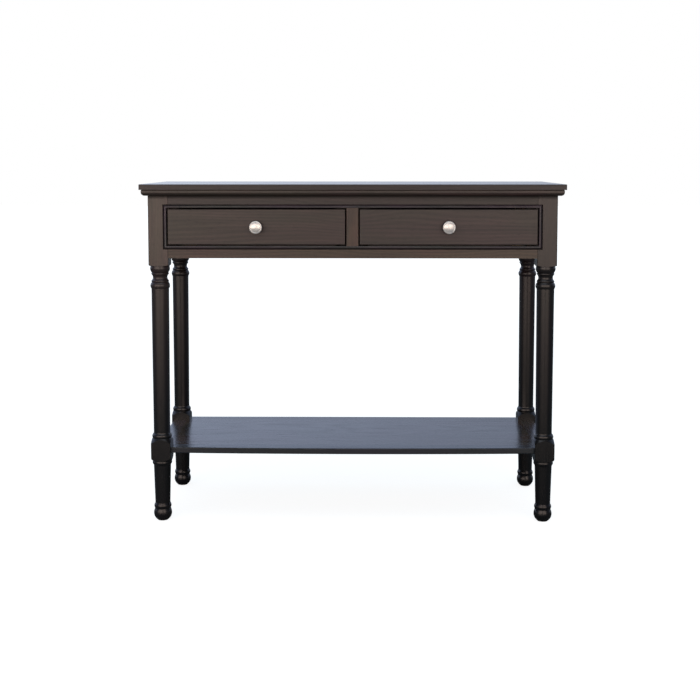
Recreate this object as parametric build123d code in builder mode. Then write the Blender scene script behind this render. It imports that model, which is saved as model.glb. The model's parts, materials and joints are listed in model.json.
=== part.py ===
from build123d import *
import math
import os

# Console table: a moulded top on four turned legs, two inset drawers in a beaded
# opening, and a framed shelf low between the legs.
#
# Millimetres. +Z is up, the front faces -Y, and the origin is on the floor under
# the middle of the table. Left and right are as seen from the front.

os.makedirs("parts", exist_ok=True)

# ---- Table top -------------------------------------------------------------
TOP_WIDTH = 1000.0
TOP_DEPTH = 400.0
HEIGHT = 810.0
TOP_THICKNESS = 13.0
TOP_CORNER_ROUND = 2.0
TOP_EDGE_ROUND = 1.5
TOP_OVERHANG = 18.0  # past the legs, all round
MOULDING_THICKNESS = 14.0
MOULDING_WIDTH = 60.0
MOULDING_STEP = 4.5  # back from the edge of the top
MOULDING_UPPER_ROUND = 2.5
MOULDING_LOWER_ROUND = 8.0

# ---- Legs ------------------------------------------------------------------
LEG_SQUARE = 47.0
LEG_ARRIS = 1.5  # rounding of the blocks' long corners
UPPER_SHOULDER_HEIGHT = 3.5  # where the lathe has rounded the corners of a block
LOWER_SHOULDER_HEIGHT = 11.0
SHOULDER_INSET = 0.8  # how far inside the block's faces that rounding ends
ROUND_SHOULDER = 0.66  # above 0.5 the rounding is full, below 0.5 it is hollow
HOLLOW_SHOULDER = 0.45
SHOULDER_CLEARANCE = 0.5  # the lathe's sweep past the corners of a block
UPPER_BLOCK_DROP = 19.5  # below the aprons
LOWER_BLOCK_ABOVE_SHELF = 20.5
LOWER_BLOCK_BELOW_SHELF = 20.0
BLOCK_CREASE_RADIUS = 22.6  # of the crease between a block and the bead next to it

CAPITAL_BEAD_RADIUS = 23.3
CAPITAL_BEAD_HEIGHT = 15.0
CAPITAL_BEAD_ROOT = 19.8
FILLET_RADIUS = 20.9
FILLET_HEIGHT = 5.2
FILLET_ROOT = 19.4
COVE_RADIUS = 17.2
COVE_HEIGHT = 12.6
TURNING_STEP = 2.0  # flat between two turned forms
TURNING_LIP = 0.3  # small change of radius beside a turned form

SHAFT_TOP_RADIUS = 20.9
SHAFT_BOTTOM_RADIUS = 19.6
BLOCK_RING_RADIUS = 23.3
BLOCK_RING_HEIGHT = 11.0
LOWER_RING_RADIUS = 23.2
LOWER_RING_HEIGHT = 9.0
LOWER_SHAFT_TOP_RADIUS = 20.4
LOWER_SHAFT_BOTTOM_RADIUS = 17.9

FOOT_RADIUS = 21.6
FOOT_HEIGHT = 27.0
FOOT_WIDEST = 15.5  # above the flat underneath
FOOT_FLAT_RADIUS = 13.8
FOOT_NECK_RADIUS = 18.8
ANKLE_RING_RADIUS = 20.5
ANKLE_RING_HEIGHT = 11.0
GLIDE_RADIUS = 12.5
GLIDE_THICKNESS = 1.5

# ---- Aprons, front frame and bead ------------------------------------------
APRON_HEIGHT = 147.5
APRON_THICKNESS = 18.0
RAIL_THICKNESS = 22.0
RAIL_HEIGHT = 20.5  # of the flat face outside the bead, above and below
BEAD_WIDTH = 8.2
BEAD_DEPTH = 12.0
BEAD_GROOVE = 3.6  # narrows to nothing against the wood outside the bead
BEAD_GROOVE_DEPTH = 6.0
BEAD_SPRING = 1.6  # the nose starts this far behind the face
BEAD_PROUD = 0.7
OPENING_INTO_LEG = 4.0  # the drawer opening is this much wider than between legs
STILE_WIDTH = 27.5
STILE_TENON_WIDTH = 18.0
STILE_TENON_THICKNESS = 6.0
STILE_TENON_LENGTH = 10.0
TENON_LENGTH = 18.0
TENON_THICKNESS = 9.0
TENON_FACE_SHOULDER = 5.0
TENON_EDGE_SHOULDER = 4.0
APRON_TENON_SHOULDER = 12.0

# ---- Drawer carriage -------------------------------------------------------
RUNNER_WIDTH = 22.0
RUNNER_HEIGHT = 20.0
CENTRE_RUNNER_WIDTH = 80.0
GUIDE_HEIGHT = 20.0
KICKER_GAP = 2.0
STOP_WIDTH = 18.0
STOP_HEIGHT = 20.0
STOP_GAP = 0.3

# ---- Drawers ---------------------------------------------------------------
DRAWER_GAP = 3.2  # round a drawer front
DRAWER_RECESS = 0.8  # drawer front behind the face of the legs
DRAWER_FRONT_THICKNESS = 20.0
DRAWER_FRONT_ROUND = 1.5
DRAWER_SIDE_THICKNESS = 12.0
DRAWER_SIDE_HEIGHT = 78.0
DRAWER_SIDE_PLAY = 1.0
DRAWER_LIFT = 0.3  # drawer sides above the runners
DRAWER_REAR_SPACE = 26.0  # from the drawer sides to the rear apron, where the stops are
DRAWER_BACK_DROP = 5.0  # back below the tops of the sides
DRAWER_BACK_INSET = 4.0  # back in front of the ends of the sides
DRAWER_LAP = 8.0  # sides let into the drawer front
HOUSING_DEPTH = 4.0  # back and bottom let into the sides
DRAWER_BOTTOM_THICKNESS = 5.0
DRAWER_BOTTOM_RISE = 10.0

KNOB_RADIUS = 15.0
KNOB_PROJECTION = 25.0
KNOB_BASE_RADIUS = 7.5
KNOB_BASE_HEIGHT = 2.0
KNOB_STEM_RADIUS = 5.0
KNOB_HEAD_THICKNESS = 9.0
KNOB_UNDERCUT = 2.2
KNOB_RIM_WIDTH = 4.6
KNOB_RIM_GROOVE = 0.8
KNOB_DOME_RISE = 2.6

# ---- Shelf -----------------------------------------------------------------
SHELF_HEIGHT = 180.0  # of its upper face
SHELF_THICKNESS = 14.0
SHELF_RAIL_WIDTH = 34.0
SHELF_FRONT_SETBACK = 9.0  # front edge behind the legs, at the legs
SHELF_BOW = 9.0
SHELF_EDGE_ROUND = 2.0
SHELF_TONGUE = 6.0
SHELF_TONGUE_THICKNESS = 5.0
SHELF_TENON_LENGTH = 12.0
SHELF_TENON_WIDTH = 18.0
SHELF_TENON_THICKNESS = 8.0

# ---- Screws ----------------------------------------------------------------
HOLE_PLAY = 0.1
TOP_SCREW_RADIUS = 2.0
TOP_SCREW_HEAD_RADIUS = 4.0
TOP_SCREW_HEAD_HEIGHT = 3.0
TOP_SCREW_SEAT = 18.0  # wood between the head and the moulding
TOP_SCREW_BITE = 8.0  # into the table top
COUNTERBORE_RADIUS = 5.0
KNOB_SCREW_RADIUS = 2.0
KNOB_SCREW_HEAD_RADIUS = 4.2
KNOB_SCREW_HEAD_HEIGHT = 2.6
KNOB_SCREW_BITE = 10.0
BOTTOM_SCREW_RADIUS = 1.25
BOTTOM_SCREW_HEAD_RADIUS = 2.8
BOTTOM_SCREW_HEAD_HEIGHT = 1.5
BOTTOM_SCREW_BITE = 14.0
BOTTOM_SCREW_SPACING = 150.0

# ---- Places worked out from the sizes --------------------------------------
top_under = HEIGHT - TOP_THICKNESS
apron_top = top_under - MOULDING_THICKNESS
apron_bottom = apron_top - APRON_HEIGHT

face_x = TOP_WIDTH / 2 - TOP_OVERHANG  # outer faces of the legs
face_y = TOP_DEPTH / 2 - TOP_OVERHANG
inner_x = face_x - LEG_SQUARE  # inner faces of the legs
inner_y = face_y - LEG_SQUARE
leg_x = face_x - LEG_SQUARE / 2
leg_y = face_y - LEG_SQUARE / 2

upper_block_bottom = apron_bottom - UPPER_BLOCK_DROP
lower_block_top = SHELF_HEIGHT + LOWER_BLOCK_ABOVE_SHELF
lower_block_bottom = SHELF_HEIGHT - SHELF_THICKNESS - LOWER_BLOCK_BELOW_SHELF

opening_x = inner_x + OPENING_INTO_LEG
opening_top = apron_top - RAIL_HEIGHT - BEAD_WIDTH
opening_bottom = apron_bottom + RAIL_HEIGHT + BEAD_WIDTH
rail_back = -face_y + RAIL_THICKNESS
bead_back = -face_y + BEAD_DEPTH
apron_front = face_y - APRON_THICKNESS  # inner face of the rear apron

runner_inner = inner_x - RUNNER_WIDTH
runner_bottom = opening_bottom - RUNNER_HEIGHT
side_bottom = opening_bottom + DRAWER_LIFT
side_top = side_bottom + DRAWER_SIDE_HEIGHT
kicker_bottom = side_top + KICKER_GAP

drawer_in = STILE_WIDTH / 2 + DRAWER_GAP  # edges of a drawer front, from the middle
drawer_out = opening_x - DRAWER_GAP
drawer_mid = (drawer_in + drawer_out) / 2
box_out = inner_x - DRAWER_SIDE_PLAY
centre_guide_half = drawer_in - DRAWER_SIDE_PLAY
front_face = -face_y + DRAWER_RECESS
front_back = front_face + DRAWER_FRONT_THICKNESS
drawer_end = apron_front - DRAWER_REAR_SPACE
front_low = opening_bottom + DRAWER_GAP
front_high = opening_top - DRAWER_GAP
bottom_low = side_bottom + DRAWER_BOTTOM_RISE
bottom_high = bottom_low + DRAWER_BOTTOM_THICKNESS
back_back = drawer_end - DRAWER_BACK_INSET
back_front = back_back - DRAWER_SIDE_THICKNESS
knob_z = (front_low + front_high) / 2

shelf_under = SHELF_HEIGHT - SHELF_THICKNESS
shelf_mid = SHELF_HEIGHT - SHELF_THICKNESS / 2
panel_x = leg_x - SHELF_RAIL_WIDTH / 2
panel_y = leg_y - SHELF_RAIL_WIDTH / 2

fixing_y = (apron_front + TOP_DEPTH / 2 - MOULDING_STEP - MOULDING_WIDTH) / 2
fixing_x = inner_x - RUNNER_WIDTH / 2
fixing_head = apron_top - TOP_SCREW_SEAT

UP = (0, 0, 1)


def save(piece, name):
    """Name a finished piece and write it to its own file."""
    piece.part.label = name
    export_step(piece.part, f"parts/{name}.step")


def block(x, y, z, mode=Mode.ADD):
    """A box over three (low, high) spans, added to or taken from the open part."""
    with Locations((sum(x) / 2, sum(y) / 2, sum(z) / 2)):
        Box(abs(x[1] - x[0]), abs(y[1] - y[0]), abs(z[1] - z[0]), mode=mode)


def pin(x, y, z, radius, mode=Mode.ADD):
    """An upright cylinder over the span z."""
    with Locations((x, y, z[0])):
        Cylinder(radius, z[1] - z[0], align=(Align.CENTER, Align.CENTER, Align.MIN), mode=mode)


def lying_pin(x, y, z, radius, mode=Mode.ADD):
    """A cylinder along Y over the span y."""
    with Locations(Location((x, y[0], z), (-90, 0, 0))):
        Cylinder(radius, y[1] - y[0], align=(Align.CENTER, Align.CENTER, Align.MIN), mode=mode)


def mirrored(span, side):
    """A span measured outwards from the middle, on the left (-1) or right (+1)."""
    return (span[0] * side, span[1] * side)


def fixing_places():
    """Where the screws go up into the top: at both ends of each kicker."""
    return [(x, y) for x in (-fixing_x, 0, fixing_x) for y in (-fixing_y, fixing_y)]


# ---- Table top -------------------------------------------------------------
def make_tabletop():
    with BuildPart() as tabletop:
        with BuildSketch(Plane.XY.offset(top_under)):
            RectangleRounded(TOP_WIDTH, TOP_DEPTH, TOP_CORNER_ROUND)
        extrude(amount=TOP_THICKNESS)
        fillet(tabletop.faces().sort_by(Axis.Z)[-1].edges(), TOP_EDGE_ROUND)
        for x, y in fixing_places():
            pin(x, y, (top_under, top_under + TOP_SCREW_BITE), TOP_SCREW_RADIUS + HOLE_PLAY, Mode.SUBTRACT)
    save(tabletop, "tabletop")


def make_moulding(name, out, reach, length):
    """One mitred length of edge moulding; out is the way it faces."""
    outward = Vector(*out)
    along = outward.cross(Vector(*UP))
    section = Plane(origin=(0, 0, 0), x_dir=outward, z_dir=along)
    plan = Plane(origin=(0, 0, apron_top), x_dir=outward, z_dir=UP)
    half = length / 2
    with BuildPart() as moulding:
        with BuildSketch(section) as profile:
            with Locations((reach - MOULDING_WIDTH / 2, apron_top + MOULDING_THICKNESS / 2)):
                Rectangle(MOULDING_WIDTH, MOULDING_THICKNESS)
            outer_top = profile.vertices().group_by(Axis.X)[-1].sort_by(Axis.Y)[-1]
            fillet(outer_top, MOULDING_UPPER_ROUND)
            outer_bottom = profile.vertices().group_by(Axis.X)[-1].sort_by(Axis.Y)[0]
            fillet(outer_bottom, MOULDING_LOWER_ROUND)
        extrude(amount=half, both=True)
        with BuildSketch(plan):
            with BuildLine():
                Polyline(
                    (reach, -half),
                    (reach, half),
                    (reach - MOULDING_WIDTH, half - MOULDING_WIDTH),
                    (reach - MOULDING_WIDTH, -half + MOULDING_WIDTH),
                    close=True,
                )
            make_face()
        extrude(amount=MOULDING_THICKNESS, mode=Mode.INTERSECT)
        for x, y in fixing_places():
            pin(x, y, (apron_top, top_under), TOP_SCREW_RADIUS + HOLE_PLAY, Mode.SUBTRACT)
    save(moulding, name)


def make_mouldings():
    long_side = TOP_WIDTH - 2 * MOULDING_STEP
    short_side = TOP_DEPTH - 2 * MOULDING_STEP
    make_moulding("front_moulding", (0, -1, 0), short_side / 2, long_side)
    make_moulding("rear_moulding", (0, 1, 0), short_side / 2, long_side)
    make_moulding("left_moulding", (-1, 0, 0), long_side / 2, short_side)
    make_moulding("right_moulding", (1, 0, 0), long_side / 2, short_side)


# ---- Legs ------------------------------------------------------------------
def bulge(radius, low, high, depth):
    """A turned bead (depth above 0) or cove (below 0) between two heights."""
    ThreePointArc((radius, low), (radius + depth, (low + high) / 2), (radius, high))


def block_outline(low, high, height, low_fullness, high_fullness=None):
    """Half outline that a block is turned to; it stays square at an end without a fullness."""
    corner = math.hypot(LEG_SQUARE, LEG_SQUARE) / 2 + SHOULDER_CLEARANCE
    root = LEG_SQUARE / 2 - SHOULDER_INSET
    low_middle = root + low_fullness * (corner - root)
    Line((0, low), (root, low))
    ThreePointArc((root, low), (low_middle, low + height / 2), (corner, low + height))
    if high_fullness is None:
        Polyline((corner, low + height), (corner, high), (0, high), (0, low))
    else:
        high_middle = root + high_fullness * (corner - root)
        Line((corner, low + height), (corner, high - height))
        ThreePointArc((corner, high - height), (high_middle, high - height / 2), (root, high))
        Polyline((root, high), (0, high), (0, low))


def make_leg(name, side, end):
    """side is -1 left, +1 right; end is -1 front, +1 rear."""
    x, y = leg_x * side, leg_y * end
    profile_plane = Plane(origin=(x, y, 0), x_dir=(1, 0, 0), z_dir=(0, -1, 0))
    axis = Axis((x, y, 0), UP)
    with BuildPart() as leg:
        # the two square blocks, with their corners turned off at the ends
        with BuildSketch(Plane(origin=(x, y, lower_block_bottom))):
            RectangleRounded(LEG_SQUARE, LEG_SQUARE, LEG_ARRIS)
        extrude(amount=lower_block_top - lower_block_bottom)
        with BuildSketch(Plane(origin=(x, y, upper_block_bottom))):
            RectangleRounded(LEG_SQUARE, LEG_SQUARE, LEG_ARRIS)
        extrude(amount=apron_top - upper_block_bottom)
        with BuildSketch(profile_plane):
            with BuildLine():
                block_outline(
                    lower_block_bottom,
                    lower_block_top,
                    LOWER_SHOULDER_HEIGHT,
                    ROUND_SHOULDER,
                    HOLLOW_SHOULDER,
                )
            make_face()
            with BuildLine():
                block_outline(upper_block_bottom, apron_top, UPPER_SHOULDER_HEIGHT, ROUND_SHOULDER)
            make_face()
        revolve(axis=axis, mode=Mode.INTERSECT)
        # everything between and below the blocks is turned
        with BuildSketch(profile_plane):
            with BuildLine():
                foot_top = turned_foot()
                ring_top = turned_lower_leg(foot_top)
                shaft_foot = turned_block_ring(ring_top)
                top = turned_capital(shaft_foot)
                Polyline(top, (0, top[1]), (0, GLIDE_THICKNESS))
            make_face()
        revolve(axis=axis)
        cut_shelf_mortises(side, end)
        cut_apron_mortises(side, end)
        if end < 0:
            cut_drawer_opening(side)
    save(leg, name)


def turned_foot():
    """The bun foot and the ring above it; returns where the ring ends."""
    low = GLIDE_THICKNESS
    widest = low + FOOT_WIDEST
    bun_top = low + FOOT_HEIGHT
    Line((0, low), (FOOT_FLAT_RADIUS, low))
    RadiusArc(
        (FOOT_FLAT_RADIUS, low),
        (FOOT_RADIUS, widest),
        -arc_radius(FOOT_RADIUS - FOOT_FLAT_RADIUS, FOOT_WIDEST),
    )
    RadiusArc(
        (FOOT_RADIUS, widest),
        (FOOT_NECK_RADIUS, bun_top),
        -arc_radius(FOOT_RADIUS - FOOT_NECK_RADIUS, bun_top - widest),
    )
    ring_low = bun_top + TURNING_STEP / 2
    ring_high = ring_low + ANKLE_RING_HEIGHT
    Line((FOOT_NECK_RADIUS, bun_top), (FOOT_NECK_RADIUS, ring_low))
    bulge(FOOT_NECK_RADIUS, ring_low, ring_high, ANKLE_RING_RADIUS - FOOT_NECK_RADIUS)
    return (FOOT_NECK_RADIUS, ring_high)


def arc_radius(across, along):
    """Radius of an arc that leaves the widest point of a turning straight up or down."""
    return (across**2 + along**2) / (2 * across)


def turned_lower_leg(start):
    """The tapered leg under the shelf block and its ring; returns the end under the block."""
    ring_high = lower_block_bottom - TURNING_STEP / 2
    ring_low = ring_high - LOWER_RING_HEIGHT
    root = LOWER_SHAFT_TOP_RADIUS + TURNING_LIP
    Polyline(
        start,
        (LOWER_SHAFT_BOTTOM_RADIUS, start[1] + TURNING_STEP),
        (LOWER_SHAFT_TOP_RADIUS, ring_low - TURNING_STEP),
        (root, ring_low),
    )
    ThreePointArc(
        (root, ring_low),
        (LOWER_RING_RADIUS, (ring_low + ring_high) / 2),
        (BLOCK_CREASE_RADIUS, ring_high),
    )
    return (BLOCK_CREASE_RADIUS, ring_high)


def turned_block_ring(start):
    """The core of the shelf block and the ring on top of it; returns where the shaft starts."""
    low = lower_block_top + TURNING_STEP / 2
    high = low + BLOCK_RING_HEIGHT
    shaft_lip = SHAFT_BOTTOM_RADIUS + TURNING_LIP
    Line(start, (BLOCK_CREASE_RADIUS, low))
    ThreePointArc((BLOCK_CREASE_RADIUS, low), (BLOCK_RING_RADIUS, (low + high) / 2), (shaft_lip, high))
    Line((shaft_lip, high), (SHAFT_BOTTOM_RADIUS, high + TURNING_STEP))
    return (SHAFT_BOTTOM_RADIUS, high + TURNING_STEP)


def turned_capital(shaft_foot):
    """The shaft, then two beads with fillets round a cove; returns the end under the block."""
    upper_high = upper_block_bottom - TURNING_STEP / 2
    upper_low = upper_high - CAPITAL_BEAD_HEIGHT
    cove_high = upper_low - FILLET_HEIGHT
    cove_low = cove_high - COVE_HEIGHT
    lower_high = cove_low - FILLET_HEIGHT
    lower_low = lower_high - CAPITAL_BEAD_HEIGHT
    shaft_lip = SHAFT_TOP_RADIUS + TURNING_LIP
    Polyline(shaft_foot, (SHAFT_TOP_RADIUS, lower_low), (shaft_lip, lower_low))
    ThreePointArc(
        (shaft_lip, lower_low),
        (CAPITAL_BEAD_RADIUS, (lower_low + lower_high) / 2),
        (CAPITAL_BEAD_ROOT, lower_high),
    )
    Line((CAPITAL_BEAD_ROOT, lower_high), (FILLET_ROOT, lower_high))
    bulge(FILLET_ROOT, lower_high, cove_low, FILLET_RADIUS - FILLET_ROOT)
    bulge(FILLET_ROOT, cove_low, cove_high, COVE_RADIUS - FILLET_ROOT)
    bulge(FILLET_ROOT, cove_high, upper_low, FILLET_RADIUS - FILLET_ROOT)
    Line((FILLET_ROOT, upper_low), (CAPITAL_BEAD_ROOT, upper_low))
    ThreePointArc(
        (CAPITAL_BEAD_ROOT, upper_low),
        (CAPITAL_BEAD_RADIUS, (upper_low + upper_high) / 2),
        (BLOCK_CREASE_RADIUS, upper_high),
    )
    Line((BLOCK_CREASE_RADIUS, upper_high), (BLOCK_CREASE_RADIUS, upper_block_bottom))
    return (BLOCK_CREASE_RADIUS, upper_block_bottom)


def cut_shelf_mortises(side, end):
    side_tenon = shelf_side_tenon()
    block(
        mirrored(side_tenon["across"], side),
        mirrored((inner_y, inner_y + SHELF_TENON_LENGTH), end),
        side_tenon["z"],
        Mode.SUBTRACT,
    )
    cross_tenon = shelf_cross_tenon(end)
    block(
        mirrored((inner_x, inner_x + SHELF_TENON_LENGTH), side),
        mirrored(cross_tenon["across"], end),
        cross_tenon["z"],
        Mode.SUBTRACT,
    )


def cut_apron_mortises(side, end):
    block(
        mirrored(side_apron_tenon(), side),
        mirrored((inner_y, inner_y + TENON_LENGTH), end),
        apron_tenon_z(),
        Mode.SUBTRACT,
    )
    reach = mirrored((inner_x, inner_x + TENON_LENGTH), side)
    if end > 0:
        block(reach, rear_apron_tenon(), apron_tenon_z(), Mode.SUBTRACT)
    else:
        block(reach, front_tenon_y(), top_rail_tenon_z(), Mode.SUBTRACT)
        block(reach, front_tenon_y(), bottom_rail_tenon_z(), Mode.SUBTRACT)


def cut_drawer_opening(side):
    """The bead is let into the leg, and the drawer opening runs a little into it."""
    block(
        mirrored((inner_x, opening_x + BEAD_WIDTH), side),
        (-face_y, bead_back),
        (opening_bottom - BEAD_WIDTH, opening_top + BEAD_WIDTH),
        Mode.SUBTRACT,
    )
    block(
        mirrored((inner_x, opening_x), side),
        (bead_back, rail_back),
        (opening_bottom, opening_top),
        Mode.SUBTRACT,
    )


# ---- Tenons, shared by the rails and the mortises --------------------------
def apron_tenon_z():
    return (apron_bottom + APRON_TENON_SHOULDER, apron_top - APRON_TENON_SHOULDER)


def side_apron_tenon():
    return (face_x - APRON_THICKNESS, face_x - APRON_THICKNESS + TENON_THICKNESS)


def rear_apron_tenon():
    return (apron_front, apron_front + TENON_THICKNESS)


def front_tenon_y():
    return (-face_y + TENON_FACE_SHOULDER, -face_y + TENON_FACE_SHOULDER + TENON_THICKNESS)


def top_rail_tenon_z():
    return (opening_top + BEAD_WIDTH + TENON_EDGE_SHOULDER, apron_top - TENON_EDGE_SHOULDER)


def bottom_rail_tenon_z():
    return (apron_bottom + TENON_EDGE_SHOULDER, opening_bottom - BEAD_WIDTH - TENON_EDGE_SHOULDER)


def shelf_tenon_z():
    return (shelf_mid - SHELF_TENON_THICKNESS / 2, shelf_mid + SHELF_TENON_THICKNESS / 2)


def shelf_side_tenon():
    """Tenon of a side rail: its span across the rail, and its heights."""
    return {"across": (leg_x - SHELF_TENON_WIDTH / 2, leg_x + SHELF_TENON_WIDTH / 2), "z": shelf_tenon_z()}


def shelf_cross_tenon(end):
    """Tenon of the front or rear rail, measured outwards from the middle."""
    return {"across": (leg_y - SHELF_TENON_WIDTH / 2, leg_y + SHELF_TENON_WIDTH / 2), "z": shelf_tenon_z()}


# ---- Front frame -----------------------------------------------------------
def stile_mortise(z, mode):
    middle = (rail_back + bead_back) / 2
    block(
        (-STILE_TENON_WIDTH / 2, STILE_TENON_WIDTH / 2),
        (middle - STILE_TENON_THICKNESS / 2, middle + STILE_TENON_THICKNESS / 2),
        z,
        mode,
    )


def make_front_rail(name, outer, inner, tenon_z, stile_z):
    """A rail rebated for the bead; outer and inner are its edges at outer and opening side."""
    bead_line = inner + math.copysign(BEAD_WIDTH, outer - inner)
    with BuildPart() as rail:
        with BuildSketch(Plane.YZ):
            with BuildLine():
                Polyline(
                    (-face_y, outer),
                    (-face_y, bead_line),
                    (bead_back, bead_line),
                    (bead_back, inner),
                    (rail_back, inner),
                    (rail_back, outer),
                    close=True,
                )
            make_face()
        extrude(amount=inner_x, both=True)
        block((-inner_x - TENON_LENGTH, inner_x + TENON_LENGTH), front_tenon_y(), tenon_z)
        stile_mortise(stile_z, Mode.SUBTRACT)
    save(rail, name)


def make_front_rails():
    make_front_rail(
        "front_top_rail",
        apron_top,
        opening_top,
        top_rail_tenon_z(),
        (opening_top, opening_top + STILE_TENON_LENGTH),
    )
    make_front_rail(
        "front_bottom_rail",
        apron_bottom,
        opening_bottom,
        bottom_rail_tenon_z(),
        (opening_bottom - STILE_TENON_LENGTH, opening_bottom),
    )


def make_centre_stile():
    with BuildPart() as stile:
        with BuildSketch(Plane.XY.offset(opening_bottom)):
            with Locations((0, (rail_back - face_y) / 2)):
                Rectangle(STILE_WIDTH, RAIL_THICKNESS)
        extrude(amount=opening_top - opening_bottom)
        stile_mortise((opening_bottom - STILE_TENON_LENGTH, opening_top + STILE_TENON_LENGTH), Mode.ADD)
    save(stile, "centre_stile")


def make_bead(name, out, reach, length):
    """One mitred strip of the bead round the drawer opening; out points away from it."""
    middle = Vector(0, -face_y, (opening_top + opening_bottom) / 2)
    outward = Vector(*out)
    section = Plane(origin=middle, x_dir=outward, z_dir=outward.cross(Vector(0, -1, 0)))
    elevation = Plane(origin=middle, x_dir=outward, z_dir=(0, 1, 0))
    nose = BEAD_WIDTH - BEAD_GROOVE
    half = length / 2
    with BuildPart() as bead:
        with BuildSketch(section):
            with BuildLine():
                ThreePointArc(
                    (reach, -BEAD_SPRING),
                    (reach + nose / 2, BEAD_PROUD),
                    (reach + nose, -BEAD_SPRING),
                )
                Polyline(
                    (reach + nose, -BEAD_SPRING),
                    (reach + BEAD_WIDTH, -BEAD_GROOVE_DEPTH),
                    (reach + BEAD_WIDTH, -BEAD_DEPTH),
                    (reach, -BEAD_DEPTH),
                    (reach, -BEAD_SPRING),
                )
            make_face()
        extrude(amount=half + BEAD_WIDTH, both=True)
        with BuildSketch(elevation.offset(-BEAD_DEPTH)):
            with BuildLine():
                Polyline(
                    (reach, -half),
                    (reach, half),
                    (reach + BEAD_WIDTH, half + BEAD_WIDTH),
                    (reach + BEAD_WIDTH, -half - BEAD_WIDTH),
                    close=True,
                )
            make_face()
        extrude(amount=2 * BEAD_DEPTH, mode=Mode.INTERSECT)
    save(bead, name)


def make_beads():
    width = 2 * opening_x
    height = opening_top - opening_bottom
    make_bead("top_bead", (0, 0, 1), height / 2, width)
    make_bead("bottom_bead", (0, 0, -1), height / 2, width)
    make_bead("left_bead", (-1, 0, 0), width / 2, height)
    make_bead("right_bead", (1, 0, 0), width / 2, height)


# ---- Aprons ----------------------------------------------------------------
def make_side_apron(name, side):
    with BuildPart() as apron:
        with BuildSketch(Plane.XY.offset(apron_bottom)):
            with Locations(((face_x - APRON_THICKNESS / 2) * side, 0)):
                Rectangle(APRON_THICKNESS, 2 * inner_y)
        extrude(amount=APRON_HEIGHT)
        reach = inner_y + TENON_LENGTH
        block(mirrored(side_apron_tenon(), side), (-reach, reach), apron_tenon_z())
    save(apron, name)


def make_rear_apron():
    with BuildPart() as apron:
        with BuildSketch(Plane.XY.offset(apron_bottom)):
            with Locations((0, face_y - APRON_THICKNESS / 2)):
                Rectangle(2 * inner_x, APRON_THICKNESS)
        extrude(amount=APRON_HEIGHT)
        reach = inner_x + TENON_LENGTH
        block((-reach, reach), rear_apron_tenon(), apron_tenon_z())
    save(apron, "rear_apron")


# ---- Runners, guides, kickers and stops ------------------------------------
def make_plain_board(name, x, y, z):
    with BuildPart() as board:
        block(x, y, z)
    save(board, name)


def make_kicker(name, x):
    with BuildPart() as kicker:
        block(x, (rail_back, apron_front), (kicker_bottom, apron_top))
        middle = sum(x) / 2
        for y in (-fixing_y, fixing_y):
            pin(middle, y, (kicker_bottom, fixing_head), COUNTERBORE_RADIUS, Mode.SUBTRACT)
            pin(middle, y, (fixing_head, apron_top), TOP_SCREW_RADIUS + HOLE_PLAY, Mode.SUBTRACT)
    save(kicker, name)


def make_carriage():
    """Runners under the drawer sides, guides beside them and kickers over them."""
    full_depth = (rail_back, apron_front)
    runner_z = (runner_bottom, opening_bottom)
    guide_top = opening_bottom + GUIDE_HEIGHT
    centre_half = CENTRE_RUNNER_WIDTH / 2
    for word, side in (("left", -1), ("right", 1)):
        under_side = mirrored((runner_inner, inner_x), side)
        beside = mirrored((inner_x, face_x - APRON_THICKNESS), side)
        make_plain_board(f"{word}_runner", under_side, full_depth, runner_z)
        make_plain_board(f"{word}_guide", beside, (-inner_y, inner_y), (runner_bottom, guide_top))
        make_kicker(f"{word}_kicker", under_side)
    make_plain_board("centre_runner", (-centre_half, centre_half), full_depth, runner_z)
    make_plain_board(
        "centre_guide", (-centre_guide_half, centre_guide_half), full_depth, (opening_bottom, guide_top)
    )
    make_kicker("centre_kicker", (-centre_half, centre_half))


def make_drawer_stops():
    """Blocks on the runners against the rear apron, one behind each drawer side."""
    stop_front = drawer_end + STOP_GAP
    with BuildPart() as stops:
        for side in (-1, 1):
            for inner, outer in (
                (inner_x - STOP_WIDTH, inner_x),
                (centre_guide_half, centre_guide_half + STOP_WIDTH),
            ):
                block(
                    mirrored((inner, outer), side),
                    (stop_front, apron_front),
                    (opening_bottom, opening_bottom + STOP_HEIGHT),
                )
    save(stops, "drawer_stops")


def make_top_screws():
    with BuildPart() as screws:
        for x, y in fixing_places():
            pin(x, y, (fixing_head - TOP_SCREW_HEAD_HEIGHT, fixing_head), TOP_SCREW_HEAD_RADIUS)
            pin(x, y, (fixing_head, top_under + TOP_SCREW_BITE), TOP_SCREW_RADIUS)
    save(screws, "top_screws")


# ---- Shelf -----------------------------------------------------------------
def shelf_groove(x, y, mode):
    tongue = SHELF_TONGUE_THICKNESS / 2
    block(x, y, (shelf_mid - tongue, shelf_mid + tongue), mode)


def make_shelf_panel():
    """The panel stops short of the legs at its corners and has a tongue on each edge."""
    with BuildPart() as panel:
        with BuildSketch(Plane.XY.offset(shelf_under)):
            Rectangle(2 * panel_x, 2 * inner_y)
            Rectangle(2 * inner_x, 2 * panel_y)
        extrude(amount=SHELF_THICKNESS)
        tongue_x = panel_x + SHELF_TONGUE
        tongue_y = panel_y + SHELF_TONGUE
        shelf_groove((-tongue_x, tongue_x), (-inner_y, inner_y), Mode.ADD)
        shelf_groove((-inner_x, inner_x), (-tongue_y, tongue_y), Mode.ADD)
    save(panel, "shelf_panel")


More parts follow.
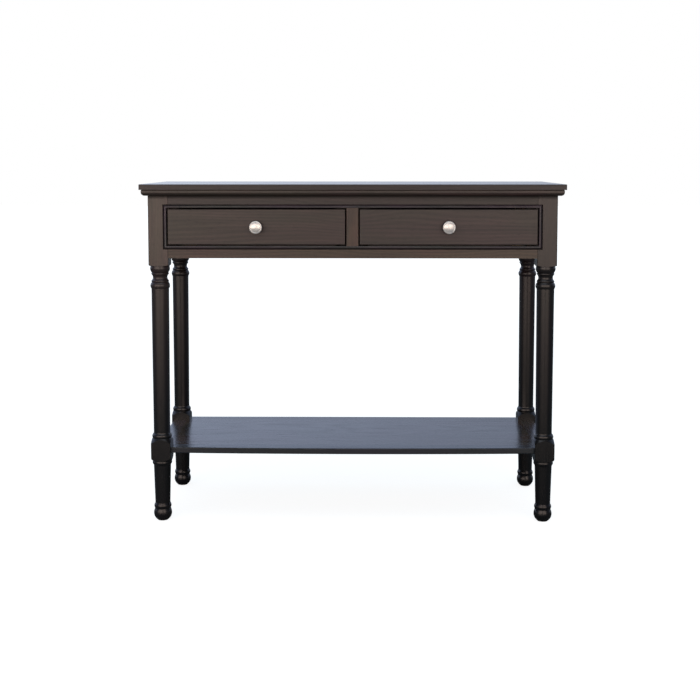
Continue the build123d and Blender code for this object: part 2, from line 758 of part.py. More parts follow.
def make_shelf_side_rail(name, side):
    tenon = shelf_side_tenon()
    reach = inner_y + SHELF_TENON_LENGTH
    with BuildPart() as rail:
        with BuildSketch(Plane.XY.offset(shelf_under)):
            with Locations((leg_x * side, 0)):
                Rectangle(SHELF_RAIL_WIDTH, 2 * inner_y)
        extrude(amount=SHELF_THICKNESS)
        outer = rail.faces().filter_by(Axis.X).sort_by(Axis.X)[-1 if side > 0 else 0]
        fillet(outer.edges().filter_by(Axis.Y), SHELF_EDGE_ROUND)
        block(mirrored(tenon["across"], side), (-reach, reach), tenon["z"])
        shelf_groove(mirrored((panel_x, panel_x + SHELF_TONGUE), side), (-inner_y, inner_y), Mode.SUBTRACT)
    save(rail, name)


def make_shelf_rear_rail():
    tenon = shelf_cross_tenon(1)
    reach = inner_x + SHELF_TENON_LENGTH
    with BuildPart() as rail:
        with BuildSketch(Plane.XY.offset(shelf_under)):
            with Locations((0, leg_y)):
                Rectangle(2 * inner_x, SHELF_RAIL_WIDTH)
        extrude(amount=SHELF_THICKNESS)
        outer = rail.faces().sort_by(Axis.Y)[-1]
        fillet(outer.edges().filter_by(Axis.X), SHELF_EDGE_ROUND)
        block((-reach, reach), tenon["across"], tenon["z"])
        shelf_groove((-inner_x, inner_x), (panel_y, panel_y + SHELF_TONGUE), Mode.SUBTRACT)
    save(rail, "shelf_rear_rail")


def make_shelf_front_rail():
    """The front rail, whose front edge bows gently forward."""
    tenon = shelf_cross_tenon(-1)
    reach = inner_x + SHELF_TENON_LENGTH
    edge = -face_y + SHELF_FRONT_SETBACK
    with BuildPart() as rail:
        with BuildSketch(Plane.XY.offset(shelf_under)):
            with BuildLine():
                ThreePointArc((-inner_x, edge), (0, edge - SHELF_BOW), (inner_x, edge))
                Polyline((inner_x, edge), (inner_x, -panel_y), (-inner_x, -panel_y), (-inner_x, edge))
            make_face()
        extrude(amount=SHELF_THICKNESS)
        outer = rail.faces().sort_by(Axis.Y)[0]
        bowed = outer.edges().filter_by(GeomType.CIRCLE)
        fillet(bowed, SHELF_EDGE_ROUND)
        block((-reach, reach), mirrored(tenon["across"], -1), tenon["z"])
        shelf_groove((-inner_x, inner_x), (-panel_y - SHELF_TONGUE, -panel_y), Mode.SUBTRACT)
    save(rail, "shelf_front_rail")


def make_foot_glides():
    with BuildPart() as glides:
        with BuildSketch(Plane.XY):
            with GridLocations(2 * leg_x, 2 * leg_y, 2, 2):
                Circle(GLIDE_RADIUS)
        extrude(amount=GLIDE_THICKNESS)
    save(glides, "foot_glides")


# ---- Drawers ---------------------------------------------------------------
def side_spans():
    """Both sides of a drawer box, measured outwards from the table's middle."""
    thickness = DRAWER_SIDE_THICKNESS
    return {"inner": (drawer_in, drawer_in + thickness), "outer": (box_out - thickness, box_out)}


def between_sides():
    spans = side_spans()
    return (spans["inner"][1] - HOUSING_DEPTH, spans["outer"][0] + HOUSING_DEPTH)


def make_drawer_front(name, side):
    lap = (front_back - DRAWER_LAP, front_back)
    with BuildPart() as front:
        with BuildSketch(Plane(origin=(0, front_face, 0), x_dir=(1, 0, 0), z_dir=(0, 1, 0))):
            with Locations((drawer_mid * side, -knob_z)):
                Rectangle(drawer_out - drawer_in, front_high - front_low)
        extrude(amount=DRAWER_FRONT_THICKNESS)
        fillet(front.faces().sort_by(Axis.Y)[0].edges(), DRAWER_FRONT_ROUND)
        for span in side_spans().values():
            block(mirrored(span, side), lap, (front_low, side_top), Mode.SUBTRACT)
        block(mirrored(between_sides(), side), lap, (bottom_low, bottom_high), Mode.SUBTRACT)
        lying_pin(
            drawer_mid * side,
            (front_face, front_back),
            knob_z,
            KNOB_SCREW_RADIUS + HOLE_PLAY,
            Mode.SUBTRACT,
        )
    save(front, name)


def make_drawer_side(name, side, which):
    span = side_spans()[which]
    inward = 1 if which == "inner" else -1
    face = span[1] if which == "inner" else span[0]
    housing = mirrored((face, face - HOUSING_DEPTH * inward), side)
    with BuildPart() as board:
        block(mirrored(span, side), (front_back, drawer_end), (side_bottom, side_top))
        block(mirrored(span, side), (front_back - DRAWER_LAP, front_back), (front_low, side_top))
        block(housing, (front_back - DRAWER_LAP, drawer_end), (bottom_low, bottom_high), Mode.SUBTRACT)
        block(housing, (back_front, back_back), (bottom_high, side_top), Mode.SUBTRACT)
    save(board, name)


def make_drawer_back(name, side):
    with BuildPart() as back:
        block(
            mirrored(between_sides(), side),
            (back_front, back_back),
            (bottom_high, side_top - DRAWER_BACK_DROP),
        )
        for x in bottom_screw_places(side):
            pin(
                x,
                (back_front + back_back) / 2,
                (bottom_high, bottom_high + BOTTOM_SCREW_BITE),
                BOTTOM_SCREW_RADIUS + HOLE_PLAY,
                Mode.SUBTRACT,
            )
    save(back, name)


def bottom_screw_places(side):
    return [drawer_mid * side + step * BOTTOM_SCREW_SPACING for step in (-1, 0, 1)]


def make_drawer_bottom(name, side):
    with BuildPart() as bottom:
        block(
            mirrored(between_sides(), side),
            (front_back - DRAWER_LAP, drawer_end),
            (bottom_low, bottom_high),
        )
        for x in bottom_screw_places(side):
            pin(
                x,
                (back_front + back_back) / 2,
                (bottom_low, bottom_high),
                BOTTOM_SCREW_RADIUS + HOLE_PLAY,
                Mode.SUBTRACT,
            )
    save(bottom, name)


def make_bottom_screws(name, side):
    y = (back_front + back_back) / 2
    with BuildPart() as screws:
        for x in bottom_screw_places(side):
            pin(x, y, (bottom_low - BOTTOM_SCREW_HEAD_HEIGHT, bottom_low), BOTTOM_SCREW_HEAD_RADIUS)
            pin(x, y, (bottom_low, bottom_high + BOTTOM_SCREW_BITE), BOTTOM_SCREW_RADIUS)
    save(screws, name)


def make_knob(name, side):
    """A turned metal knob: base, waisted stem, and a head with a rolled rim round a dome."""
    origin = (drawer_mid * side, front_face, knob_z)
    profile_plane = Plane(origin=origin, x_dir=(1, 0, 0), z_dir=(0, 0, -1))
    head = KNOB_PROJECTION - KNOB_HEAD_THICKNESS
    rim_mid = head + KNOB_UNDERCUT + KNOB_RIM_WIDTH / 2
    rim_top = head + KNOB_UNDERCUT + KNOB_RIM_WIDTH
    rim_root = KNOB_RADIUS - KNOB_RIM_WIDTH / 2
    dome_radius = rim_root - KNOB_RIM_GROOVE
    dome_edge = KNOB_PROJECTION - KNOB_DOME_RISE
    with BuildPart() as knob:
        with BuildSketch(profile_plane):
            with BuildLine():
                Polyline((0, 0), (KNOB_BASE_RADIUS, 0), (KNOB_BASE_RADIUS, KNOB_BASE_HEIGHT))
                ThreePointArc(
                    (KNOB_BASE_RADIUS, KNOB_BASE_HEIGHT),
                    (KNOB_STEM_RADIUS, (KNOB_BASE_HEIGHT + head) / 2),
                    (KNOB_BASE_RADIUS, head),
                )
                Line((KNOB_BASE_RADIUS, head), (rim_root, head + KNOB_UNDERCUT))
                ThreePointArc((rim_root, head + KNOB_UNDERCUT), (KNOB_RADIUS, rim_mid), (rim_root, rim_top))
                Line((rim_root, rim_top), (dome_radius, dome_edge))
                RadiusArc(
                    (dome_radius, dome_edge),
                    (0, KNOB_PROJECTION),
                    -arc_radius(KNOB_DOME_RISE, dome_radius),
                )
                Line((0, KNOB_PROJECTION), (0, 0))
            make_face()
        revolve(axis=Axis(origin, (0, -1, 0)))
        lying_pin(
            drawer_mid * side,
            (front_face - KNOB_SCREW_BITE, front_face),
            knob_z,
            KNOB_SCREW_RADIUS + HOLE_PLAY,
            Mode.SUBTRACT,
        )
    save(knob, name)


def make_knob_screw(name, side):
    x = drawer_mid * side
    with BuildPart() as screw:
        lying_pin(x, (front_face - KNOB_SCREW_BITE, front_back), knob_z, KNOB_SCREW_RADIUS)
        lying_pin(x, (front_back, front_back + KNOB_SCREW_HEAD_HEIGHT), knob_z, KNOB_SCREW_HEAD_RADIUS)
    save(screw, name)


def make_drawer(word, side):
    make_drawer_front(f"{word}_drawer_front", side)
    make_drawer_side(f"{word}_drawer_inner_side", side, "inner")
    make_drawer_side(f"{word}_drawer_outer_side", side, "outer")
    make_drawer_back(f"{word}_drawer_back", side)
    make_drawer_bottom(f"{word}_drawer_bottom", side)
    make_bottom_screws(f"{word}_drawer_bottom_screws", side)
    make_knob(f"{word}_knob", side)
    make_knob_screw(f"{word}_knob_screw", side)


# ---- The whole table -------------------------------------------------------
make_tabletop()
make_mouldings()
make_leg("front_left_leg", -1, -1)
make_leg("front_right_leg", 1, -1)
make_leg("rear_left_leg", -1, 1)
make_leg("rear_right_leg", 1, 1)
make_front_rails()
make_centre_stile()
make_beads()
make_side_apron("left_apron", -1)
make_side_apron("right_apron", 1)
make_rear_apron()
make_carriage()
make_drawer_stops()
make_top_screws()
make_shelf_panel()
make_shelf_side_rail("shelf_left_rail", -1)
make_shelf_side_rail("shelf_right_rail", 1)
make_shelf_rear_rail()
make_shelf_front_rail()
make_foot_glides()
make_drawer("left", -1)
make_drawer("right", 1)
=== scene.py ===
import json
import math

import bpy
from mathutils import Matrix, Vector


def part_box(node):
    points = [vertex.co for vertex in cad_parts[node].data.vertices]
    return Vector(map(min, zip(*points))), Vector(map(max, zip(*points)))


# Console table: espresso-stained wood under satin lacquer, bare wood inside the
# drawers, polished nickel knobs. Metres, +Z up, the front faces -Y.

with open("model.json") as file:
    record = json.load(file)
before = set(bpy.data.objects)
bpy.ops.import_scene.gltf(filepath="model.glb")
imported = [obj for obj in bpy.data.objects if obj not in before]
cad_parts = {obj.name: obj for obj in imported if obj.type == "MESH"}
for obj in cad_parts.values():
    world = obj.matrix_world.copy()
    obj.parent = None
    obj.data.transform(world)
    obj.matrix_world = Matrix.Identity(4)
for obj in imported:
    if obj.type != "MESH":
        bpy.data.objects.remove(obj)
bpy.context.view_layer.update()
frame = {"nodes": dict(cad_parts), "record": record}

# ---- Places that the stain and the painted shade follow --------------------
APRON_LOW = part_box("front_bottom_rail")[0][2]
BLOCK_LOW = APRON_LOW - 0.0195  # where the square blocks at the aprons end
MOULDING_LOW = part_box("front_moulding")[0][2]
SHELF_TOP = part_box("shelf_panel")[1][2]
FRONT_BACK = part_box("left_drawer_front")[1][1]  # back face of the drawer fronts

# ---- Camera ----------------------------------------------------------------
LENS = 61.7  # mm, on a sensor 36 mm wide
CAMERA_PLACE = Vector((0.0268, -3.0002, 0.8649))
CAMERA_TILT = math.radians(4.515)  # below level
CAMERA_YAW = math.radians(-0.660)  # to the left of straight ahead
CAMERA_RISE = -0.135  # lens shift, as a share of the picture's width

# ---- Light -----------------------------------------------------------------
WARM = (1.0, 0.80, 0.68)
COOL = (0.93, 0.96, 1.0)
WHITE = (1.0, 1.0, 1.0, 1.0)
FILL_COLOUR = (0.60, 0.82, 1.0, 1.0)
FILL_STRENGTH = 0.65
# name: (place, point that it faces, (width, height), brightness of its face, colour)
SOFTBOXES = {
    "left_softbox": ((-2.9, -3.6, 1.4), (-2.9, 0.0, 1.4), (5.4, 2.6), 2.3, WARM),
    "right_softbox": ((1.75, -3.6, 1.4), (1.75, 0.0, 1.4), (3.0, 2.6), 2.2, WARM),
    "overhead_softbox": ((-0.2, -0.5, 2.6), (0.0, 0.0, 0.8), (2.0, 1.6), 1.2, COOL),
}


# ---- Nodes -----------------------------------------------------------------
def node(tree, kind, inputs=None, **settings):
    """Add a node; inputs maps a socket's name or number to a value or another socket."""
    made = tree.nodes.new(kind)
    for key, value in settings.items():
        setattr(made, key, value)
    for key, value in (inputs or {}).items():
        if isinstance(value, bpy.types.NodeSocket):
            tree.links.new(value, made.inputs[key])
        else:
            made.inputs[key].default_value = value
    return made


def maths(tree, operation, a, b=0.0, c=0.0, clamp=False):
    return node(
        tree, "ShaderNodeMath", {0: a, 1: b, 2: c}, operation=operation, use_clamp=clamp
    ).outputs[0]


def blended(tree, factor, a, b, kind="MIX"):
    """Mix of two colours."""
    mix = node(tree, "ShaderNodeMix", data_type="RGBA", blend_type=kind)
    for socket, value in ((mix.inputs[0], factor), (mix.inputs[6], a), (mix.inputs[7], b)):
        if isinstance(value, bpy.types.NodeSocket):
            tree.links.new(value, socket)
        else:
            socket.default_value = value if isinstance(value, float) else (*value, 1.0)
    return mix.outputs[2]


def remap(tree, value, low, high, out_low=0.0, out_high=1.0, smooth=False):
    return node(
        tree,
        "ShaderNodeMapRange",
        {0: value, 1: low, 2: high, 3: out_low, 4: out_high},
        interpolation_type="SMOOTHSTEP" if smooth else "LINEAR",
    ).outputs[0]


def noise(tree, place, scale, detail=2.0, roughness=0.5, distortion=0.0):
    return node(
        tree,
        "ShaderNodeTexNoise",
        {
            "Vector": place,
            "Scale": scale,
            "Detail": detail,
            "Roughness": roughness,
            "Distortion": distortion,
        },
    ).outputs[0]


def stretched(tree, place, scales):
    return node(
        tree, "ShaderNodeMapping", {"Vector": place, "Scale": scales}, vector_type="POINT"
    ).outputs[0]


def component(tree, vector, axis):
    return node(tree, "ShaderNodeSeparateXYZ", {0: vector}).outputs[axis]


def grey(tree, value):
    return node(tree, "ShaderNodeCombineColor", {0: value, 1: value, 2: value}).outputs[0]


def new_material(name):
    material = bpy.data.materials.new(name)
    material.use_nodes = True
    material.node_tree.nodes.clear()
    return material


def finish_material(material, shader):
    node(material.node_tree, "ShaderNodeOutputMaterial", {"Surface": shader.outputs[0]})
    return material


# ---- Wood ------------------------------------------------------------------
RING_SPACING = 0.0085
RING_WANDER = 0.10


def across_shift(seed):
    return 0.413 * seed % 1.7


def deep_shift(seed):
    return 0.577 * seed % 1.3


def board_space(tree, grain, seed):
    """Place in the piece, and the same with the grain along X in its own part of the tree."""
    turns = {"x": (0, 1, 2), "y": (1, 0, 2), "z": (2, 0, 1)}[grain]
    place = node(tree, "ShaderNodeTexCoord").outputs["Object"]
    split = node(tree, "ShaderNodeSeparateXYZ", {0: place})
    joined = node(
        tree,
        "ShaderNodeCombineXYZ",
        {i: split.outputs[axis] for i, axis in enumerate(turns)},
    ).outputs[0]
    shift = (0.731 * seed % 3.0, across_shift(seed), deep_shift(seed))
    moved = node(
        tree, "ShaderNodeVectorMath", {0: joined, 1: shift}, operation="ADD"
    ).outputs[0]
    return place, moved


def growth_rings(tree, place, seed):
    """Rings round a pith that wanders, cut by the board's face."""
    wander = noise(tree, stretched(tree, place, (1.6, 7.0, 7.0)), 1.0, 2.0)
    split = node(tree, "ShaderNodeSeparateXYZ", {0: place})
    across = maths(tree, "SUBTRACT", split.outputs[1], across_shift(seed) + 0.02)
    deep = maths(tree, "SUBTRACT", split.outputs[2], deep_shift(seed) - 0.09)
    square = maths(tree, "MULTIPLY", across, across)
    radius = maths(tree, "SQRT", maths(tree, "ADD", square, maths(tree, "MULTIPLY", deep, deep)))
    warped = maths(tree, "MULTIPLY_ADD", wander, RING_WANDER, radius)
    wave = maths(tree, "SINE", maths(tree, "MULTIPLY", warped, 2 * math.pi / RING_SPACING))
    return remap(tree, wave, -1.0, 1.0)


def wood(name, grain, seed, dark, light, tints, gloss, level, relief_depth, figure, shade=None):
    """Stained or bare timber: rings, fibres and pores along the grain, with blotchy stain.

    dark and light are the colours of late and early wood, tints the two hues that the
    stain drifts between, gloss the (lowest, highest) roughness of upright faces and level
    that of faces that lay level while they dried, relief_depth how deep the grain is to the
    touch, and shade a function that returns each place's colour factor and extra roughness.
    """
    material = new_material(name)
    tree = material.node_tree
    whole, place = board_space(tree, grain, seed)
    rings = growth_rings(tree, place, seed)
    fibres = noise(tree, stretched(tree, place, (7.0, 330.0, 330.0)), 1.0, 4.0, 0.62)
    streaks = noise(tree, stretched(tree, place, (2.6, 60.0, 60.0)), 1.0, 3.0, 0.55)
    pore_field = noise(tree, stretched(tree, place, (60.0, 1500.0, 1500.0)), 1.0, 1.0)
    pores = remap(tree, pore_field, 0.60, 0.72, smooth=True)
    blotch = noise(tree, stretched(tree, place, (5.0, 13.0, 13.0)), 1.0, 3.0, 0.5)

    tone = maths(tree, "MULTIPLY_ADD", rings, figure, 0.5 - figure / 2)
    tone = maths(tree, "ADD", tone, maths(tree, "MULTIPLY_ADD", fibres, 0.9, -0.45))
    tone = maths(tree, "ADD", tone, maths(tree, "MULTIPLY_ADD", streaks, 0.9, -0.45), clamp=True)
    colour = blended(tree, tone, dark, light)
    hue = blended(tree, remap(tree, blotch, 0.34, 0.66, smooth=True), tints[0], tints[1])
    colour = blended(tree, 1.0, colour, hue, "MULTIPLY")
    filled = tuple(c * 0.35 for c in dark)
    colour = blended(tree, maths(tree, "MULTIPLY", pores, 0.5), colour, filled)

    upright = remap(tree, tone, 0.0, 1.0, gloss[1], gloss[0])
    flat = remap(tree, tone, 0.0, 1.0, level[1], level[0])
    facing = node(tree, "ShaderNodeNewGeometry").outputs["Normal"]
    upward = remap(tree, component(tree, facing, 2), 0.7, 0.95)
    rough = node(
        tree, "ShaderNodeMix", {0: upward, 2: upright, 3: flat}, data_type="FLOAT"
    ).outputs[0]
    rough = maths(tree, "MULTIPLY_ADD", pores, 0.12, rough)
    if shade:
        factor, dullness = shade(tree, whole)
        colour = blended(tree, 1.0, colour, factor, "MULTIPLY")
        rough = maths(tree, "ADD", rough, dullness, clamp=True)
    height = maths(tree, "MULTIPLY_ADD", pores, -0.9, maths(tree, "MULTIPLY", fibres, 0.7))
    relief = node(
        tree,
        "ShaderNodeBump",
        {"Strength": 0.35, "Distance": relief_depth, "Height": height},
    ).outputs[0]
    shader = node(
        tree,
        "ShaderNodeBsdfPrincipled",
        {"Base Color": colour, "Roughness": rough, "Normal": relief},
    )
    shader.inputs["IOR"].default_value = 1.52
    shader.inputs["Specular IOR Level"].default_value = 0.5
    return finish_material(material, shader)


ESPRESSO_DARK = (0.0115, 0.0078, 0.0070)
ESPRESSO_LIGHT = (0.037, 0.0228, 0.0170)
ESPRESSO_TINTS = ((0.86, 1.03, 0.88), (1.12, 0.95, 1.08))
BARE_DARK = (0.36, 0.235, 0.13)
BARE_LIGHT = (0.56, 0.41, 0.26)
BARE_TINTS = ((1.0, 0.98, 0.94), (1.0, 1.0, 1.0))
BARE_GLOSS = (0.52, 0.66)


def painted_corner_shade(tree, place):
    """Painted shade in the corner under the moulding: the colour darkens to a quarter towards it,
    and the lacquer there is duller.
    """
    height = component(tree, place, 2)
    low, high = MOULDING_LOW - 0.0105, MOULDING_LOW + 0.0005
    corner = remap(tree, height, low, high, 1.0, 0.25, smooth=True)
    return grey(tree, corner), maths(tree, "MULTIPLY_ADD", corner, -0.6, 0.6)


def leg_stain_and_painted_shade(tree, place):
    """Turned parts darker than the blocks, partly deeper stain in the end grain and partly
    painted shade that darkens and cools them towards the floor; painted shade under the moulding
    too.
    """
    height = component(tree, place, 2)
    block = remap(tree, height, BLOCK_LOW + 0.001, BLOCK_LOW + 0.003)
    # painted shade: the turned parts grow darker and cooler towards the floor
    low = remap(tree, height, SHELF_TOP + 0.02, BLOCK_LOW - 0.016, smooth=True)
    turned = blended(tree, low, (0.09, 0.11, 0.18), (0.58, 0.60, 0.76))
    factor = blended(tree, block, turned, (1.0, 1.0, 1.0))
    # painted shade under the moulding on the leg blocks
    corner, dullness = painted_corner_shade(tree, place)
    handled = remap(tree, height, 0.05, 0.30, -0.03, 0.0)
    return blended(tree, 1.0, factor, corner, "MULTIPLY"), maths(tree, "ADD", dullness, handled)


def painted_recess_shade(tree, place):
    """Painted shade on the bare wood behind the drawer openings: nearly black at the front,
    fading out further in.
    """
    depth = component(tree, place, 1)
    low, high = FRONT_BACK + 0.0212, FRONT_BACK + 0.0662
    return grey(tree, remap(tree, depth, low, high, 0.03, 1.0, smooth=True)), 0.0


def painted_side_end_shade(tree, place):
    """The same painted shade on the front ends of the drawer sides."""
    depth = component(tree, place, 1)
    low, high = FRONT_BACK + 0.0007, FRONT_BACK + 0.0022
    return grey(tree, remap(tree, depth, low, high, 0.05, 1.0)), 0.0


def stained(name, grain, seed, gloss=(0.34, 0.42), figure=0.34, shade=None):
    # each board's stain factor, which also carries painted light and shade
    tint = BOARD_STAIN_AND_PAINTED_LIGHT.get(name, (1.0, 1.0, 1.0))
    return wood(
        name,
        grain,
        seed,
        dark=tuple(c * k for c, k in zip(ESPRESSO_DARK, tint)),
        light=tuple(c * k for c, k in zip(ESPRESSO_LIGHT, tint)),
        tints=ESPRESSO_TINTS,
        gloss=gloss,
        level=LEVEL_GLOSS.get(name, (0.16, 0.34)),
        relief_depth=0.00003,
        figure=figure,
        shade=shade,
    )


def bare(name, grain, seed, shade=None):
    return wood(
        name,
        grain,
        seed,
        dark=BARE_DARK,
        light=BARE_LIGHT,
        tints=BARE_TINTS,
        gloss=BARE_GLOSS,
        level=BARE_GLOSS,
        relief_depth=0.00012,
        figure=0.3,
        shade=shade,
    )


# ---- Metal and plastic -----------------------------------------------------
def metal(name, colour, rough, mark_scale, marks, metallic=1.0):
    """Plated metal with fine turning marks and faint smears."""
    material = new_material(name)
    tree = material.node_tree
    place = node(tree, "ShaderNodeTexCoord").outputs["Object"]
    smears = noise(tree, place, 90.0, 3.0)
    lines = noise(tree, stretched(tree, place, (300.0, mark_scale, 300.0)), 1.0, 2.0)
    tone = blended(tree, remap(tree, smears, 0.3, 0.7), tuple(c * 0.9 for c in colour), colour)
    shine = remap(tree, smears, 0.3, 0.7, rough * 0.7, rough * 1.4)
    relief = node(
        tree, "ShaderNodeBump", {"Strength": marks, "Distance": 0.00005, "Height": lines}
    ).outputs[0]
    shader = node(
        tree,
        "ShaderNodeBsdfPrincipled",
        {"Base Color": tone, "Roughness": shine, "Normal": relief},
    )
    shader.inputs["Metallic"].default_value = metallic
    return finish_material(material, shader)


def plastic(name, colour):
    material = new_material(name)
    tree = material.node_tree
    place = node(tree, "ShaderNodeTexCoord").outputs["Object"]
    grit = noise(tree, place, 1500.0, 2.0)
    tone = blended(tree, remap(tree, grit, 0.35, 0.65), colour, tuple(c * 1.5 for c in colour))
    relief = node(
        tree, "ShaderNodeBump", {"Strength": 0.3, "Distance": 0.0001, "Height": grit}
    ).outputs[0]
    shader = node(
        tree,
        "ShaderNodeBsdfPrincipled",
        {"Base Color": tone, "Roughness": 0.55, "Normal": relief},
    )
    return finish_material(material, shader)


# ---- Dress the CAD nodes ---------------------------------------------------
def dress(name, material):
    mesh = frame["nodes"][name].data
    mesh.materials.clear()
    mesh.materials.append(material)


GRAIN = {
    "tabletop": "x",
    "front_moulding": "x",
    "rear_moulding": "x",
    "left_moulding": "y",
    "right_moulding": "y",
    "front_top_rail": "x",
    "front_bottom_rail": "x",
    "top_bead": "x",
    "bottom_bead": "x",
    "left_bead": "z",
    "right_bead": "z",
    "centre_stile": "z",
    "left_apron": "y",
    "right_apron": "y",
    "rear_apron": "x",
    "drawer_stops": "y",
    "shelf_panel": "x",
    "shelf_front_rail": "x",
    "shelf_rear_rail": "x",
    "shelf_left_rail": "y",
    "shelf_right_rail": "y",
    "left_drawer_front": "x",
    "right_drawer_front": "x",
}
LEVEL_GLOSS = {"tabletop": (0.11, 0.18), "shelf_panel": (0.13, 0.28)}
# painted cool highlight on the beads
BEAD_PAINTED_HIGHLIGHT = (1.8, 2.4, 3.4)
# each board's factor on its colour, the rest have 1: partly how it took the stain, partly painted
# light and shade; the left leg, bottom rail and stile are painted lighter, the right leg, top
# rail and shelf front rail painted darker in shade and the shelf front rail cooler, and the beads
# and shelf side rails carry a painted cool highlight
BOARD_STAIN_AND_PAINTED_LIGHT = {
    "tabletop": (0.3, 0.2, 0.4),
    "front_left_leg": (1.5, 1.5, 1.45),
    "front_right_leg": (0.5, 0.5, 0.55),
    "front_bottom_rail": (1.8, 1.5, 1.3),
    "front_top_rail": (0.6, 0.6, 0.65),
    "centre_stile": (1.7, 1.5, 1.2),
    "right_drawer_front": (1.0, 0.95, 1.1),
    "top_bead": BEAD_PAINTED_HIGHLIGHT,
    "bottom_bead": BEAD_PAINTED_HIGHLIGHT,
    "left_bead": BEAD_PAINTED_HIGHLIGHT,
    "right_bead": BEAD_PAINTED_HIGHLIGHT,
    "shelf_front_rail": (0.4, 0.8, 1.5),
    "shelf_left_rail": (1.2, 1.4, 1.8),
    "shelf_right_rail": (1.2, 1.4, 1.8),
}
slots = {p["node"]: p["material_slot"] for p in frame["record"]["subparts"]}
knob_metal = metal("knob_metal", (0.80, 0.79, 0.76), 0.34, 170.0, 0.24, 0.7)
screw_steel = metal("screw_steel", (0.55, 0.55, 0.53), 0.32, 2200.0, 0.3)
glide_plastic = plastic("glide_plastic", (0.03, 0.03, 0.03))
for seed, name in enumerate(sorted(frame["nodes"]), start=1):
    slot = slots[name]
    if slot == "stained_wood" and name.endswith("_leg"):
        # legs: stain on the turned parts, plus painted shade
        dress(name, stained(name, "z", seed, gloss=(0.27, 0.34), figure=0.12, shade=leg_stain_and_painted_shade))
    elif slot == "stained_wood":
        # the top rail gets painted shade under the moulding
        shade = painted_corner_shade if name == "front_top_rail" else None
        dress(name, stained(name, GRAIN[name], seed, shade=shade))
    elif slot == "plain_wood":
        inside = "runner" in name or "guide" in name or "kicker" in name
        along_y = inside or "side" in name
        grain = "y" if along_y else GRAIN.get(name, "x")
        # painted shade on the bare wood that shows through the drawer gaps
        shade = painted_recess_shade if inside else painted_side_end_shade if name.endswith("_side") else None
        dress(name, bare(name, grain, seed, shade))
    elif slot == "knob_metal":
        dress(name, knob_metal)
    elif slot == "screw_steel":
        dress(name, screw_steel)
    else:
        dress(name, glide_plastic)


# ---- Floor, world and lamps ------------------------------------------------
def make_floor():
    """Pale floor that runs into the backdrop: white to the camera, and to gloss further back."""
    mesh = bpy.data.meshes.new("floor")
    half = 20.0
    corners = [(-half, -half, 0), (half, -half, 0), (half, half, 0), (-half, half, 0)]
    mesh.from_pydata(corners, [], [(0, 1, 2, 3)])
    floor = bpy.data.objects.new("floor", mesh)
    bpy.context.scene.collection.objects.link(floor)
    material = new_material("floor")
    tree = material.node_tree
    plain = node(tree, "ShaderNodeBsdfDiffuse", {"Color": (0.15, 0.15, 0.15, 1.0)})
    shadowed = node(tree, "ShaderNodeBsdfDiffuse", {"Color": (0.36, 0.36, 0.36, 1.0)})
    place = node(tree, "ShaderNodeTexCoord").outputs["Object"]
    away = node(tree, "ShaderNodeVectorMath", {0: place}, operation="LENGTH").outputs["Value"]
    strength = remap(tree, away, 1.5, 7.0, 0.85, 1.0, smooth=True)
    glow = node(tree, "ShaderNodeEmission", {"Color": WHITE, "Strength": strength})
    white = node(tree, "ShaderNodeAddShader", {0: shadowed.outputs[0], 1: glow.outputs[0]})
    behind = remap(tree, component(tree, place, 1), 8.0, 16.0, smooth=True)
    path = node(tree, "ShaderNodeLightPath")
    mirrored = maths(tree, "MULTIPLY", mirrored_rays(tree, path), behind)
    seen = maths(tree, "MAXIMUM", path.outputs["Is Camera Ray"], mirrored)
    mixed = node(
        tree, "ShaderNodeMixShader", {0: seen, 1: plain.outputs[0], 2: white.outputs[0]}
    )
    mesh.materials.append(finish_material(material, mixed))


def mirrored_rays(tree, path):
    return maths(
        tree, "MAXIMUM", path.outputs["Is Glossy Ray"], path.outputs["Is Transmission Ray"]
    )


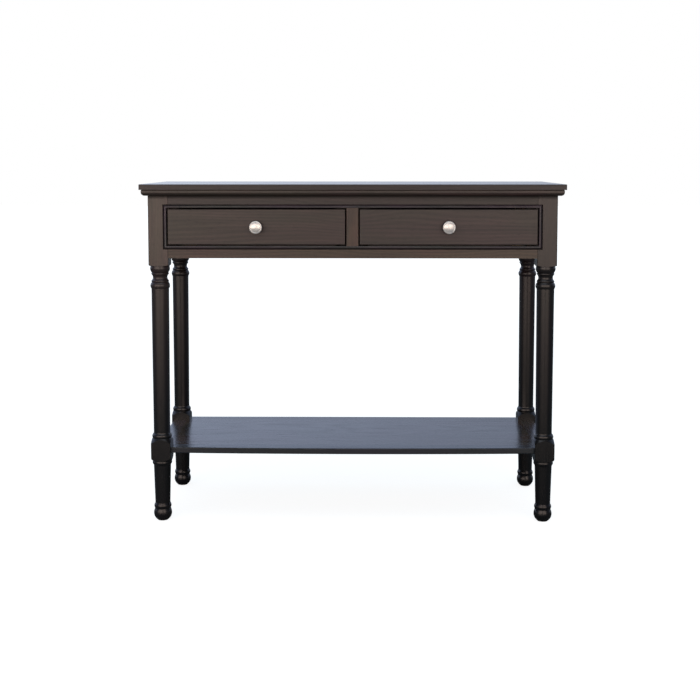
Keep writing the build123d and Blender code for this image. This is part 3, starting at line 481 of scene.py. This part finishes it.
def make_world():
    """White to the camera, a cool fill to matt surfaces, and a backdrop and dim room to gloss."""
    world = bpy.data.worlds.new("studio")
    world.use_nodes = True
    bpy.context.scene.world = world
    tree = world.node_tree
    tree.nodes.clear()
    way = node(tree, "ShaderNodeTexCoord").outputs["Generated"]
    split = node(tree, "ShaderNodeSeparateXYZ", {0: way})
    path = node(tree, "ShaderNodeLightPath")
    lit = node(tree, "ShaderNodeBackground", {"Color": FILL_COLOUR, "Strength": FILL_STRENGTH})
    seen = node(tree, "ShaderNodeBackground", {"Color": WHITE, "Strength": 1.0})
    strength = remap(tree, split.outputs[1], -0.1, 0.45, 0.25, 1.0, smooth=True)
    side = remap(tree, split.outputs[0], -0.2, 0.2, 1.2, 0.80)
    strength = maths(tree, "MULTIPLY", strength, side)
    higher = remap(tree, split.outputs[2], 0.02, 0.24)
    pale = blended(tree, higher, (0.74, 0.80, 0.92), (0.52, 0.62, 0.87))
    backdrop = node(tree, "ShaderNodeBackground", {"Color": pale, "Strength": strength})
    indirect = node(
        tree,
        "ShaderNodeMixShader",
        {0: mirrored_rays(tree, path), 1: lit.outputs[0], 2: backdrop.outputs[0]},
    )
    mixed = node(
        tree,
        "ShaderNodeMixShader",
        {0: path.outputs["Is Camera Ray"], 1: indirect.outputs[0], 2: seen.outputs[0]},
    )
    node(tree, "ShaderNodeOutputWorld", {"Surface": mixed.outputs[0]})


def make_softbox(name, place, target, size, radiance, colour):
    """A soft rectangular lamp with the given brightness of its face."""
    lamp = bpy.data.lights.new(name, "AREA")
    lamp.shape = "RECTANGLE"
    lamp.size, lamp.size_y = size
    lamp.energy = radiance * math.pi * size[0] * size[1]
    lamp.color = colour
    held = bpy.data.objects.new(name, lamp)
    held.location = place
    held.rotation_euler = (Vector(target) - Vector(place)).to_track_quat("-Z", "Y").to_euler()
    held.visible_camera = False
    bpy.context.scene.collection.objects.link(held)


def make_camera():
    data = bpy.data.cameras.new("camera")
    data.lens = LENS
    data.sensor_width = 36.0
    data.shift_y = CAMERA_RISE
    camera = bpy.data.objects.new("camera", data)
    camera.location = CAMERA_PLACE
    camera.rotation_euler = (math.pi / 2 - CAMERA_TILT, 0.0, -CAMERA_YAW)
    bpy.context.scene.collection.objects.link(camera)
    bpy.context.scene.camera = camera


make_floor()
make_world()
for name, softbox in SOFTBOXES.items():
    make_softbox(name, *softbox)
make_camera()
bpy.context.scene.view_settings.view_transform = "Standard"
